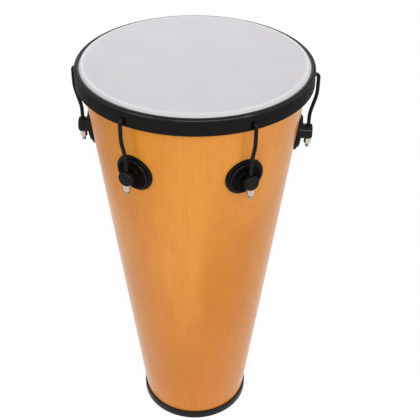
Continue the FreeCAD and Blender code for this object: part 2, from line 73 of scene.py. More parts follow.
PLACES = 6
WELD = 0.002 * MM
SMOOTH_ANGLE = math.radians(32)


# Meshes

class Join(Enum):
    """What a tool shape does to a body."""

    CUT = "DIFFERENCE"
    KEEP = "INTERSECT"


@dataclass(frozen=True)
class Corner:
    """One corner of a turned outline: its distance from the axis, its height and its round."""

    out: float
    up: float
    round: float = 0.0


def lathe(corners: Sequence[Corner], steps: int, axis: Vector = UP, rings: int = 4) -> BMesh:
    """Turn a closed outline once round an axis through the origin.

    Args:
        corners: The outline, in order.
        steps: Faces round the axis.
        axis: UP, or ACROSS for a piece that lies level.
        rings: Faces across each round.

    Returns:
        A closed mesh with its rounds bevelled.
    """
    bm = bmesh.new()
    rounds = bm.verts.layers.float.new("round")
    out = ACROSS if axis == UP else UP
    points = []
    for corner in corners:
        point = bm.verts.new(out * corner.out + axis * corner.up)
        point[rounds] = corner.round
        points.append(point)
    for first, second in zip(points, points[1:] + points[:1]):
        if first.co.project(out).length > WELD or second.co.project(out).length > WELD:
            bm.edges.new((first, second))
    bmesh.ops.spin(bm, geom=bm.verts[:] + bm.edges[:], cent=CENTRE, axis=axis, angle=TURN,
                   steps=steps, use_merge=True)
    bmesh.ops.remove_doubles(bm, verts=bm.verts, dist=WELD)
    bmesh.ops.recalc_face_normals(bm, faces=bm.faces)
    round_rings(bm, rounds, axis, rings)
    return bm


def round_rings(bm: BMesh, rounds: BMLayerItem, axis: Vector, rings: int) -> None:
    """Bevel each level ring of edges whose points carry a round.

    Args:
        bm: The turned mesh.
        rounds: The layer that holds each point's round.
        axis: What the mesh was turned about.
        rings: Faces across each round.
    """
    wanted: dict[Pair, list[BMEdge]] = {}
    for edge in bm.edges:
        first, second = edge.verts
        level = abs((first.co - second.co).dot(axis)) < WELD
        if level and first[rounds] > 0 and abs(first[rounds] - second[rounds]) < WELD:
            key = (round(first[rounds], 6), round(first.co.dot(axis), 6))
            wanted.setdefault(key, []).append(edge)
    for (radius, _), edges in wanted.items():
        alive = [edge for edge in edges if edge.is_valid]
        bmesh.ops.bevel(bm, geom=alive, offset=radius, offset_type="OFFSET", segments=rings,
                        profile=0.5, affect="EDGES", clamp_overlap=True, material=-1)


def turned(angle: float, axis: str = "Y") -> Matrix:
    """A turn about an axis through the origin."""
    return Matrix.Rotation(angle, 4, axis)


def shifted(out: float, up: float = 0.0) -> Matrix:
    """A shift along X and upwards."""
    return Matrix.Translation((out, 0, up))


def at_place(place: int) -> Matrix:
    """The turn that takes a piece from the first place to another."""
    return turned(TURN * place / PLACES, "Z")


def moved(bm: BMesh, *steps: Matrix) -> BMesh:
    """Move and turn a mesh.

    Args:
        bm: The mesh.
        steps: The moves and turns, in order.

    Returns:
        The same mesh.
    """
    for matrix in steps:
        bmesh.ops.transform(bm, matrix=matrix, verts=bm.verts)
    return bm


def rod(radius: float, length: float, sides: int, start: float) -> BMesh:
    """Draw a plain upright cylinder, to be used as a tool.

    Args:
        radius: Its radius.
        length: Its length.
        sides: Faces round it.
        start: The height of its foot.

    Returns:
        The closed mesh.
    """
    bm = bmesh.new()
    bmesh.ops.create_cone(bm, cap_ends=True, segments=sides, radius1=radius, radius2=radius,
                          depth=length, matrix=shifted(0, start + length / 2))
    return bm


def meshed(name: str, bm: BMesh) -> Mesh:
    """Keep what was modelled.

    Args:
        name: The kept mesh's name.
        bm: What was modelled. It is used up.

    Returns:
        The kept mesh.
    """
    mesh = bpy.data.meshes.new(name)
    bm.to_mesh(mesh)
    bm.free()
    return mesh


def linked(name: str, data: ID) -> Object:
    """Put a new object in the scene.

    Args:
        name: Its name.
        data: Its mesh, lamp or camera.

    Returns:
        The object.
    """
    made = bpy.data.objects.new(name, data)
    bpy.context.collection.objects.link(made)
    return made


def merged(target: BMesh, extra: BMesh) -> BMesh:
    """Put a second mesh beside the first.

    Args:
        target: The mesh that takes it in.
        extra: The second mesh. It is used up.

    Returns:
        The first mesh.
    """
    holder = meshed("merged", extra)
    target.from_mesh(holder)
    bpy.data.meshes.remove(holder)
    return target


def all_round(make: Callable[[], BMesh]) -> BMesh:
    """Repeat a mesh at every place round the drum.

    Args:
        make: What draws it at the first place.

    Returns:
        One mesh with all of them.
    """
    whole = bmesh.new()
    for place in range(PLACES):
        merged(whole, moved(make(), at_place(place)))
    return whole


def combined(body: BMesh, tool: BMesh, how: Join = Join.CUT) -> BMesh:
    """Cut or trim a body by a tool. Both are used up.

    Args:
        body: The closed mesh that is worked on.
        tool: The closed mesh that works on it.
        how: What the tool does.

    Returns:
        The new mesh.
    """
    holders = [linked(name, meshed(name, bm)) for name, bm in (("body", body), ("tool", tool))]
    modifier = holders[0].modifiers.new("join", "BOOLEAN")
    modifier.operation = how.value
    modifier.solver = "EXACT"
    modifier.object = holders[1]
    bpy.context.view_layer.update()
    result = bmesh.new()
    result.from_object(holders[0], bpy.context.evaluated_depsgraph_get())
    for holder in holders:
        mesh = holder.data
        bpy.data.objects.remove(holder)
        bpy.data.meshes.remove(mesh)
    bmesh.ops.remove_doubles(result, verts=result.verts, dist=WELD)
    return result


def drilled(body: BMesh, radius: float, length: float, sides: int, *steps: Matrix) -> BMesh:
    """A body with a hole at every place, by a drill that starts upright at the origin."""
    return combined(body, all_round(lambda: moved(rod(radius, length, sides, -length / 2), *steps)))


def zone(bm: BMesh, test: Callable[[Vector, Vector], bool]) -> None:
    """Give the second material to some faces.

    Args:
        bm: The mesh.
        test: Whether a face with this middle and normal is one of them.
    """
    bm.normal_update()
    for face in bm.faces:
        if test(face.calc_center_median(), face.normal):
            face.material_index = 1


# Node trees

class Graph:
    """A node tree that is being built."""

    def __init__(self, tree: NodeTree) -> None:
        """Start from the tree's nodes and links."""
        self.tree = tree

    def first(self, kind: str) -> Node:
        """The tree's first node of a type."""
        return next(node for node in self.tree.nodes if node.type == kind)

    def feed(self, node: Node, values: Values) -> Node:
        """Feed a node's sockets, which go by name or number.

        Args:
            node: The node.
            values: What each takes: an output, a value, or None where it stays as it is.

        Returns:
            The node.
        """
        for name, value in values.items():
            if isinstance(value, NodeSocket):
                self.tree.links.new(value, node.inputs[name])
            elif value is not None:
                node.inputs[name].default_value = value
        return node

    def add(self, kind: str, values: Sequence[object] | Values = (), **settings: object) -> Node:
        """Add a node.

        Args:
            kind: Its type.
            values: What its sockets take, in order or by name or number.
            settings: Its properties.

        Returns:
            The node.
        """
        node = self.tree.nodes.new(kind)
        for name, value in settings.items():
            setattr(node, name, value)
        return self.feed(node, values if isinstance(values, dict) else dict(enumerate(values)))

    def shade(self, values: Values) -> None:
        """Feed the material's own shader."""
        self.feed(self.first("BSDF_PRINCIPLED"), values)

    def group(self, make: Callable[[str], NodeTree], **values: object) -> Sequence[NodeSocket]:
        """Add a node group, made once and shared by all materials.

        Args:
            make: The function that makes it.
            values: What its sockets take.

        Returns:
            Its outputs.
        """
        name = make.__name__.replace("_", " ")
        tree = bpy.data.node_groups.get(name) or make(name)
        return self.add("ShaderNodeGroup", values, node_tree=tree).outputs[:]

    def maths(self, operation: str, *values: object) -> NodeSocket:
        """The result of a Math node."""
        return self.add("ShaderNodeMath", values, operation=operation).outputs[0]

    def times(self, first: object, second: object) -> NodeSocket:
        """Two values multiplied."""
        return self.maths("MULTIPLY", first, second)

    def vectors(self, operation: str, *values: object) -> Node:
        """A Vector Math node."""
        return self.add("ShaderNodeVectorMath", values, operation=operation)

    def here(self) -> NodeSocket:
        """The shaded point, in the object's own coordinates."""
        return self.add("ShaderNodeTexCoord").outputs["Object"]

    def normal(self) -> NodeSocket:
        """The surface's own normal there, without any bump."""
        return self.add("ShaderNodeNewGeometry").outputs["Normal"]

    def split(self, vector: NodeSocket) -> Sequence[NodeSocket]:
        """A vector's three parts."""
        return self.add("ShaderNodeSeparateXYZ", (vector,)).outputs[:]

    def joined(self, *parts: object) -> NodeSocket:
        """A vector made of parts."""
        return self.add("ShaderNodeCombineXYZ", parts).outputs[0]

    def noise(self, vector: NodeSocket, scale: object, detail: float = 3.0,
              roughness: float = 0.55) -> NodeSocket:
        """Noise from 0 to 1, mostly near the middle."""
        values = {"Vector": vector, "Scale": scale, "Detail": detail, "Roughness": roughness}
        return self.add("ShaderNodeTexNoise", values).outputs[0]

    def spread(self, value: object, *limits: object) -> NodeSocket:
        """A value between two limits mapped to 0 and 1, or to a third and fourth limit."""
        return self.add("ShaderNodeMapRange", (value, *limits), clamp=True).outputs[0]

    def between(self, share: object, low: object, high: object) -> NodeSocket:
        """A value between two others, by a share."""
        return self.spread(share, 0.0, 1.0, low, high)

    def blend(self, share: object, first: object, second: object) -> NodeSocket:
        """A colour between two others, by a share."""
        values = {0: share, 6: first, 7: second}
        return self.add("ShaderNodeMix", values, data_type="RGBA").outputs[2]

    def bump(self, height: object, strength: float, depth: float) -> NodeSocket:
        """The normal of a height, where a height of 1 measures a depth."""
        values = {"Height": height, "Strength": strength, "Distance": depth}
        return self.add("ShaderNodeBump", values).outputs[0]

    def seen(self) -> NodeSocket:
        """Tell rays that show a surface from those that only gather light.

        Returns:
            1 for rays from the camera, a reflection or something clear, and 0 for others.
        """
        rays = self.add("ShaderNodeLightPath").outputs
        shown = self.maths("MAXIMUM", rays["Is Camera Ray"], rays["Is Glossy Ray"])
        return self.maths("MAXIMUM", shown, rays["Is Transmission Ray"])


def new_group(name: str, inputs: dict[str, float], outputs: Sequence[str]
              ) -> tuple[Graph, Sequence[NodeSocket], Node]:
    """Make an empty node group. A socket named Vector is a vector, and any other a number.

    Args:
        name: The group's name.
        inputs: Each input's name and default.
        outputs: Each output's name.

    Returns:
        Its graph, what it is given, and the node that takes its results.
    """
    tree = bpy.data.node_groups.new(name, "ShaderNodeTree")
    for way, labels in (("INPUT", inputs), ("OUTPUT", outputs)):
        for label in labels:
            kind = "NodeSocketVector" if label == "Vector" else "NodeSocketFloat"
            socket = tree.interface.new_socket(label, in_out=way, socket_type=kind)
            if way == "INPUT" and label != "Vector":
                socket.default_value = inputs[label]
    graph = Graph(tree)
    given = graph.add("NodeGroupInput").outputs[:len(inputs)]
    return graph, given, graph.add("NodeGroupOutput")


def round_the_drum(name: str) -> NodeTree:
    """Make a group that follows the cone: each line from foot to head keeps one place across.

    Args:
        name: The group's name.

    Returns:
        The group.
    """
    graph, (radius,), result = new_group(name, {"Radius": 0.14}, ("Vector",))
    x, y, z = graph.split(graph.here())
    unit = graph.vectors("NORMALIZE", graph.joined(x, y)).outputs[0]
    scaled = graph.feed(graph.vectors("SCALE", unit), {"Scale": radius}).outputs[0]
    total = graph.vectors("ADD", scaled, graph.joined(None, None, z)).outputs[0]
    graph.feed(result, {"Vector": total})
    return graph.tree


def long_streaks(name: str) -> NodeTree:
    """Make a group for grain: noise drawn out along Z, cut to a mask between two levels.

    Args:
        name: The group's name.

    Returns:
        The group.
    """
    inputs = {"Vector": 0.0, "Across": 60.0, "Along": 3.0, "Low": 0.4, "High": 0.6}
    graph, (vector, across, along, low, high), result = new_group(name, inputs, ("Mask",))
    drawn = graph.vectors("MULTIPLY", vector, graph.joined(across, across, along)).outputs[0]
    graph.feed(result, {"Mask": graph.spread(graph.noise(drawn, 1.0, detail=4.0), low, high)})
    return graph.tree


def fine_tooth(name: str) -> NodeTree:
    """Make a group for a fine tooth, whose roughness varies with its grain and in patches.

    Args:
        name: The group's name.

    Returns:
        The group, which gives the roughness, the height of the grain, and the patches.
    """
    inputs = {"Size": 900.0, "Low": 0.3, "High": 0.5}
    outputs = ("Roughness", "Height", "Patch")
    patch_size, grain_share = 0.03, 0.35
    smooth, rough = 0.35, 0.65
    graph, (size, low, high), result = new_group(name, inputs, outputs)
    point = graph.here()
    grain = graph.noise(point, size, detail=2.0)
    patch = graph.noise(point, graph.times(size, patch_size), detail=4.0)
    mixed = graph.maths("ADD", graph.times(grain, grain_share), graph.times(patch, 1 - grain_share))
    roughness = graph.spread(mixed, smooth, rough, low, high)
    graph.feed(result, dict(zip(outputs, (roughness, grain, patch))))
    return graph.tree


def rubbed_edges(name: str) -> NodeTree:
    """Make a group for wear: a mask along outer edges, broken up by noise.

    Args:
        name: The group's name.

    Returns:
        The group.
    """
    flat, sharp = 0.995, 0.90
    chip_size, whole, broken = 220.0, 0.5, 0.68
    inputs = {"Width": 0.6 * MM, "Amount": 0.5}
    graph, (width, amount), result = new_group(name, inputs, ("Mask",))
    soft = graph.add("ShaderNodeBevel", (width,), samples=4).outputs[0]
    facing = graph.vectors("DOT_PRODUCT", soft, graph.normal()).outputs["Value"]
    edge = graph.spread(facing, flat, sharp)
    chips = graph.spread(graph.noise(graph.here(), chip_size, detail=5.0), whole, broken)
    graph.feed(result, {"Mask": graph.times(graph.times(edge, chips), amount)})
    return graph.tree


# Finishes

@dataclass(frozen=True)
class Finish:
    """What every finish has: a name and a material made once."""

    name: str

    def material(self) -> Material:
        """Give the finish's material, built the first time.

        Returns:
            The material.
        """
        known = bpy.data.materials.get(self.name)
        if known:
            return known
        made = bpy.data.materials.new(self.name)
        made.use_nodes = True
        self.dress(Graph(made.node_tree))
        return made

    def dress(self, graph: Graph) -> None:
        """Feed the shader. Each finish has its own way."""
        raise NotImplementedError


@dataclass(frozen=True)
class Streaks:
    """One kind of grain: how fine it is each way, where it is cut, and its share and stain."""

    across: float
    along: float
    low: float
    high: float
    share: float = 1.0
    stain: Four | None = None

    def mask(self, graph: Graph, vector: NodeSocket) -> NodeSocket:
        """Where the grain shows."""
        return graph.group(long_streaks, Vector=vector, Across=self.across, Along=self.along,
                           Low=self.low, High=self.high)[0]

    def stained(self, graph: Graph, mask: NodeSocket, colour: object) -> NodeSocket:
        """A colour with the grain's stain where its mask shows."""
        return graph.blend(graph.times(mask, self.share), colour, self.stain)


@dataclass(frozen=True)
class Leaf:
    """A patch of the veneer that is paler or deeper than its neighbours, with soft edges.

    Its colour is partly the veneer's own leaf tone and partly painted reflection and painted
    shade. Each run of four gives where the patch begins, is full, wanes and ends: in degrees
    round the drum, and in metres up it. A patch can also keep only part of the varnish's gloss.
    """

    colour: Four
    strength: float
    around: Four
    upward: Four
    gloss: float = 1.0

    def mask(self, graph: Graph, angle: NodeSocket, height: NodeSocket) -> NodeSocket:
        """Say how strongly the patch shows.

        Args:
            graph: The material's tree.
            angle: The angle round the drum, in radians.
            height: The height.

        Returns:
            The patch's share.
        """
        share: object = self.strength
        for value, edges in ((angle, [math.radians(turn) for turn in self.around]),
                             (height, self.upward)):
            rising = graph.spread(value, *edges[:2])
            waning = graph.spread(value, *edges[2:], 1.0, 0.0)
            share = graph.times(graph.times(rising, waning), share)
        return share


@dataclass(frozen=True)
class VarnishedVeneer(Finish):
    """Honey-coloured veneer under gloss varnish, its grain running from foot to head."""

    light: Four = (0.765, 0.290, 0.043, 1)
    middle: Four = (0.715, 0.264, 0.034, 1)
    dark: Four = (0.560, 0.175, 0.020, 1)
    pore: Four = (0.330, 0.085, 0.010, 1)
    radius: float = 0.14
    clouds: Streaks = Streaks(13.0, 6.0, 0.36, 0.64)
    blotches: Streaks = Streaks(24.0, 11.0, 0.50, 0.72, 0.27, dark)
    fibres: Streaks = Streaks(300.0, 14.0, 0.36, 0.66, 0.17, dark)
    flecks: Streaks = Streaks(700.0, 150.0, 0.60, 0.70, 0.20, pore)
    lines: Streaks = Streaks(170.0, 7.0, 0.67, 0.76, 0.28, pore)
    # Tone patches: partly the veneer's own leaf tones, partly painted reflection and painted shade.
    leaves: tuple[Leaf, ...] = (
        Leaf((0.860, 0.338, 0.049, 1), 0.85, (-120, -103, -84, -71), (0.16, 0.34, 0.58, 0.78)),
        Leaf((0.690, 0.236, 0.016, 1), 0.75, (-87, -78, -52, -30), (0.14, 0.28, 0.38, 0.50)),
        Leaf((0.840, 0.322, 0.046, 1), 0.90, (-90, -78, -48, -22), (0.48, 0.60, 0.80, 0.90)),
        Leaf((0.850, 0.298, 0.006, 1), 0.70, (-170, -150, -116, -94), (0.50, 0.62, 0.80, 0.90)),
        Leaf((0.660, 0.218, 0.004, 1), 0.90, (-170, -154, -140, -120), (0.46, 0.58, 0.80, 0.90),
             0.35),
        Leaf((0.860, 0.300, 0.034, 1), 0.60, (-165, -130, -50, -15), (-0.02, 0.00, 0.04, 0.13)),
    )
    wander: float = 0.22
    wander_scale: float = 9.0
    # A darker, pinker band towards the foot, fading out higher up.
    blush: Four = (0.690, 0.220, 0.029, 1)
    blush_share: float = 0.55
    blush_heights: Three = (0.01, 0.10, 0.40)
    joint_angle: float = math.radians(-91)
    joint_width: float = 0.35 * MM
    joint_share: float = 0.35
    joint_relief: float = -0.4
    wave_scale: float = 70.0
    wave_strength: float = 0.20
    wave_depth: float = 0.10 * MM
    roughness: Pair = (0.34, 0.44)
    coat: float = 0.65
    coat_roughness: float = 0.12
    coat_ior: float = 1.3
    specular: float = 0.1

    def joint(self, graph: Graph, across: NodeSocket) -> NodeSocket:
        """Mark the fine vertical line where the veneer's edges meet.

        Args:
            graph: The material's tree.
            across: The point that follows the cone.

        Returns:
            The line's mask.
        """
        facing = Vector((math.cos(self.joint_angle), math.sin(self.joint_angle), 0))
        beside = Vector((-facing.y, facing.x, 0))
        aside = graph.vectors("DOT_PRODUCT", across, beside).outputs["Value"]
        ahead = graph.vectors("DOT_PRODUCT", across, facing).outputs["Value"]
        near = graph.spread(graph.maths("ABSOLUTE", aside), 0.0, self.joint_width, 1.0, 0.0)
        return graph.times(near, graph.maths("GREATER_THAN", ahead, 0.0))

    def in_leaves(self, graph: Graph, across: NodeSocket, colour: NodeSocket
                  ) -> tuple[NodeSocket, object]:
        """Lay the tone patches, partly painted reflection and painted shade, and the darker,
        pinker band near the foot, over the veneer.

        Args:
            graph: The material's tree.
            across: The point that follows the cone.
            colour: The veneer's colour.

        Returns:
            The new colour, and the weight of the varnish.
        """
        x, y, height = graph.split(across)
        aside = graph.maths("SUBTRACT", graph.noise(across, self.wander_scale, detail=2.0), 0.5)
        angle = graph.maths("ADD", graph.maths("ARCTAN2", y, x), graph.times(aside, self.wander))
        coat: object = self.coat
        # Paint each tone patch over the veneer: partly leaf tone, partly painted reflection and
        # shade.
        for tone_patch in self.leaves:
            share = tone_patch.mask(graph, angle, height)
            colour = graph.blend(share, colour, tone_patch.colour)
            if tone_patch.gloss < 1:
                coat = graph.between(share, coat, self.coat * tone_patch.gloss)
        # Blend towards the darker, pinker colour low on the shell.
        foot, full, top = self.blush_heights
        low = graph.times(graph.spread(height, foot, full),
                          graph.spread(height, full, top, self.blush_share, 0.0))
        return graph.blend(low, colour, self.blush), coat

    def dress(self, graph: Graph) -> None:
        """Lay clouds, tone patches that are partly painted reflection and painted shade, grain and
        joint under a coat with a slight waviness.

        Args:
            graph: The material's tree.
        """
        across = graph.group(round_the_drum, Radius=self.radius)[0]
        colour = graph.blend(self.clouds.mask(graph, across), self.middle, self.light)
        colour, coat = self.in_leaves(graph, across, colour)
        masks = {}
        for grain in (self.blotches, self.fibres, self.flecks, self.lines):
            masks[grain] = grain.mask(graph, across)
            colour = grain.stained(graph, masks[grain], colour)
        line = self.joint(graph, across)
        relief = graph.maths("ADD", graph.noise(across, self.wave_scale, detail=1.0),
                             graph.times(line, self.joint_relief))
        graph.shade({
            "Base Color": graph.blend(graph.times(line, self.joint_share), colour, self.pore),
            "Roughness": graph.between(masks[self.fibres], *self.roughness),
            "Normal": graph.bump(relief, self.wave_strength, self.wave_depth),
            "Specular IOR Level": self.specular, "Coat Weight": coat,
            "Coat Roughness": self.coat_roughness, "Coat IOR": self.coat_ior,
        })


@dataclass(frozen=True)
class RawPly(Finish):
    """Bare plywood, as inside the shell, with its layers on the cut edges."""

    pale: Four = (0.62, 0.42, 0.23, 1)
    dark: Four = (0.40, 0.24, 0.12, 1)
    radius: float = 0.14
    bands: Streaks = Streaks(40.0, 4.0, 0.3, 0.7, 0.6, dark)
    fibres: Streaks = Streaks(900.0, 30.0, 0.45, 0.7, 0.4, dark)
    roughness: Pair = (0.62, 0.8)
    relief: float = 0.4
    depth: float = 0.1 * MM

    def dress(self, graph: Graph) -> None:
        """Lay open grain over a dry, rough surface.

        Args:
            graph: The material's tree.
        """
        across = graph.group(round_the_drum, Radius=self.radius)[0]
        bands, fibres = self.bands.mask(graph, across), self.fibres.mask(graph, across)
        colour = self.bands.stained(graph, bands, self.pale)
        graph.shade({"Base Color": self.fibres.stained(graph, fibres, colour),
                     "Roughness": graph.between(fibres, *self.roughness),
                     "Normal": graph.bump(fibres, self.relief, self.depth)})


@dataclass(frozen=True)
class Toothed(Finish):
    """A surface with a fine tooth, its roughness between a low and a high value."""

    low: float = 0.28
    high: float = 0.40
    tooth: float = 1400.0
    relief: float = 0.3
    depth: float = 0.04 * MM
    patches: Pair = (0.35, 0.7)
    patchy: float = 0.08

    def toothed(self, graph: Graph) -> tuple[NodeSocket, NodeSocket]:
        """Feed the shader's normal.

        Args:
            graph: The material's tree.

        Returns:
            The roughness, and the patches that it varies in.
        """
        rough, height, patch = graph.group(fine_tooth, Size=self.tooth, Low=self.low, High=self.high)
        graph.shade({"Normal": graph.bump(height, self.relief, self.depth)})
        return rough, patch

    def patched(self, graph: Graph, patch: NodeSocket, first: Four, second: Four) -> NodeSocket:
        """A colour with some of a second one in patches."""
        return graph.blend(graph.spread(patch, *self.patches, 0.0, self.patchy), first, second)


@dataclass(frozen=True)
class Coated(Toothed):
    """A coated, moulded or cast surface: one colour, a fine tooth and a little wear."""

    colour: Four = (0.0042, 0.0038, 0.0033, 1)
    worn: Four = (0.035, 0.033, 0.031, 1)
    wear: float = 0.5
    specular: float = 0.0
    coat: float = 0.13
    coat_roughness: float = 0.11
    coat_ior: float = 1.9

    def dress(self, graph: Graph) -> None:
        """Give the colour, lighter where edges are rubbed, with an uneven sheen.

        Args:
            graph: The material's tree.
        """
        rough, patch = self.toothed(graph)
        wear = graph.group(rubbed_edges, Amount=self.wear)[0]
        base = self.patched(graph, patch, self.colour, self.worn)
        graph.shade({"Base Color": graph.blend(wear, base, self.worn), "Roughness": rough,
                     "Specular IOR Level": self.specular, "Coat Weight": self.coat,
                     "Coat Roughness": self.coat_roughness, "Coat IOR": self.coat_ior})


@dataclass(frozen=True)
class HandledCoat(Coated):
    """A black coat that hands keep glossier on the round that faces up and out."""

    polish: float = 0.26
    rise: Pair = (0.10, 0.30)
    fall: Pair = (0.75, 0.92)

    def dress(self, graph: Graph) -> None:
        """Give the plain coat, with more of it where the surface faces halfway up.

        Args:
            graph: The material's tree.
        """
        super().dress(graph)
        upward = graph.split(graph.normal())[2]
        share = graph.times(graph.spread(upward, *self.rise),
                            graph.spread(upward, *self.fall, 1.0, 0.0))
        graph.shade({"Coat Weight": graph.between(share, self.coat, self.polish)})


@dataclass(frozen=True)
class Plated(Toothed):
    """Bare or plated metal, a little smeared."""

    low: float = 0.16
    high: float = 0.34
    tooth: float = 2600.0
    relief: float = 0.15
    depth: float = 0.02 * MM
    patches: Pair = (0.45, 0.75)
    patchy: float = 0.6
    colour: Four = (0.60, 0.57, 0.53, 1)
    dull: Four = (0.34, 0.32, 0.30, 1)

    def dress(self, graph: Graph) -> None:
        """Give metal whose sheen and colour vary in small patches.

        Args:
            graph: The material's tree.
        """
        rough, patch = self.toothed(graph)
        colour = self.patched(graph, patch, self.colour, self.dull)
        graph.shade({"Base Color": colour, "Roughness": rough, "Metallic": 1.0})


@dataclass(frozen=True)
class CoatedFilm(Toothed):
    """Milky plastic film: a faintly clouded playing area inside a glossier shoulder, whose lighter
    colour is partly the film's own rim and partly a painted highlight.
    """

    low: float = 0.52
    high: float = 0.62
    tooth: float = 1600.0
    relief: float = 0.12
    depth: float = 0.03 * MM
    middle: Four = (0.674, 0.659, 0.690, 1)
    cloud: Four = (0.652, 0.638, 0.670, 1)
    cloud_scale: float = 18.0
    clouds: Pair = (0.35, 0.7)
    # The shoulder's colour: partly the film's own lighter rim, partly a painted highlight.
    rim: Four = (0.756, 0.756, 0.766, 1)
    rim_roughness: float = 0.32
    coat_radius: float = 171.5 * MM
    coat_edge: float = 3.5 * MM
    edge_scale: float = 30.0
    edge_wander: float = 1.2 * MM
    specular: float = 0.2
    milk: float = 0.15
    milk_depth: float = 0.5 * MM

    def dress(self, graph: Graph) -> None:
        """Give the milky coat, which ends in a soft ring short of the shoulder.

        Args:
            graph: The material's tree.
        """
        point = graph.here()
        flat = graph.vectors("MULTIPLY", point, (1, 1, 0)).outputs[0]
        out = graph.vectors("LENGTH", flat).outputs["Value"]
        wander = graph.times(graph.noise(point, self.edge_scale), self.edge_wander)
        edge = graph.spread(graph.maths("ADD", out, wander), self.coat_radius,
                            self.coat_radius + self.coat_edge)
        clouds = graph.spread(graph.noise(point, self.cloud_scale, detail=5.0), *self.clouds)
        coat = graph.blend(clouds, self.middle, self.cloud)
        rough, _ = self.toothed(graph)
        # Towards the shoulder, blend to the lighter rim colour, which is partly a painted highlight.
        graph.shade({"Base Color": graph.blend(edge, coat, self.rim),
                     "Roughness": graph.between(edge, rough, self.rim_roughness),
                     "Specular IOR Level": self.specular, "Subsurface Weight": self.milk,
                     "Subsurface Scale": self.milk_depth})


@dataclass(frozen=True)
class FloorPaper(Finish):
    """Matt paper that reads white to the camera and still keeps the shadow."""

    colour: Four = (0.94, 0.94, 0.94, 1)
    shown: float = 0.95
    roughness: float = 0.8
    specular: float = 0.1

    def dress(self, graph: Graph) -> None:
        """Let most of the paper glow in rays that show it.

        Args:
            graph: The material's tree.
        """
        graph.shade({"Base Color": self.colour, "Roughness": self.roughness,
                     "Specular IOR Level": self.specular})
        glow = graph.add("ShaderNodeEmission").outputs[0]
        paper = graph.first("BSDF_PRINCIPLED").outputs[0]
        share = graph.times(graph.seen(), self.shown)
        mixed = graph.add("ShaderNodeMixShader", (share, paper, glow)).outputs[0]
        graph.feed(graph.first("OUTPUT_MATERIAL"), {"Surface": mixed})


VENEER = VarnishedVeneer("varnished veneer")
PLY = RawPly("raw plywood")
FILM = CoatedFilm("coated film")
HOOP_COAT = HandledCoat("hoop powder coat", low=0.42, high=0.54, coat=0.10)
HOOK_COAT = Coated("hook black coat", low=0.38, high=0.50, tooth=2200.0)
LUG_COAT = Coated("lug powder coat", low=0.38, high=0.50, tooth=1800.0, coat=0.14,
                  coat_roughness=0.09)
LUG_FACE = Coated("lug matt face", low=0.50, high=0.62, tooth=1800.0, coat=0.02)
PAD_RUBBER = Coated("pad rubber", low=0.30, high=0.42, wear=0.2, specular=0.08, coat=0.0)
RING_MOULDING = Coated("foot ring moulding", colour=(0.008, 0.0075, 0.007, 1), high=0.42,
                       specular=0.16, coat=0.0)
BEAD_RESIN = Coated("bead resin", colour=(0.62, 0.58, 0.46, 1), worn=(0.72, 0.68, 0.58, 1),
                    low=0.3, high=0.45, specular=0.5, coat=0.0)
ZINC = Plated("zinc plate")
BARE_THREAD = Plated("bare thread", colour=(0.50, 0.49, 0.48, 1), dull=(0.16, 0.15, 0.14, 1),
                     low=0.25, high=0.42)
MILL_ALUMINIUM = Plated("mill aluminium", colour=(0.86, 0.86, 0.87, 1), low=0.28, high=0.45)


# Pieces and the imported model

def put_piece(bm: BMesh, name: str, node: str, body: str, slot: str, *finishes: Finish) -> None:
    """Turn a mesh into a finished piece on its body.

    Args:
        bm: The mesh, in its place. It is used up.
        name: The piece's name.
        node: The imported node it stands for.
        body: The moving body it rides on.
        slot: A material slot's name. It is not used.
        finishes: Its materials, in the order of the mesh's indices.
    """
    mesh = meshed(name, bm)
    for finish in finishes:
        mesh.materials.append(finish.material())
    mesh.shade_smooth()
    mesh.set_sharp_from_angle(angle=SMOOTH_ANGLE)
    piece = linked(name, mesh)
    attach(piece, body)
    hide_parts(node)
    LOG.info("%s: %d faces on %s", name, len(mesh.polygons), body)


def span(node: str) -> tuple[Vector, Vector]:
    """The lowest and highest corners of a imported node."""
    low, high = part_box(node)
    return Vector(low), Vector(high)


def rod_place() -> float:
    """How far out the hooks' rods stand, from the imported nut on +X."""
    low, high = span("tension_nut_1")
    return (low.x + high.x) / 2


# Shell and foot ring

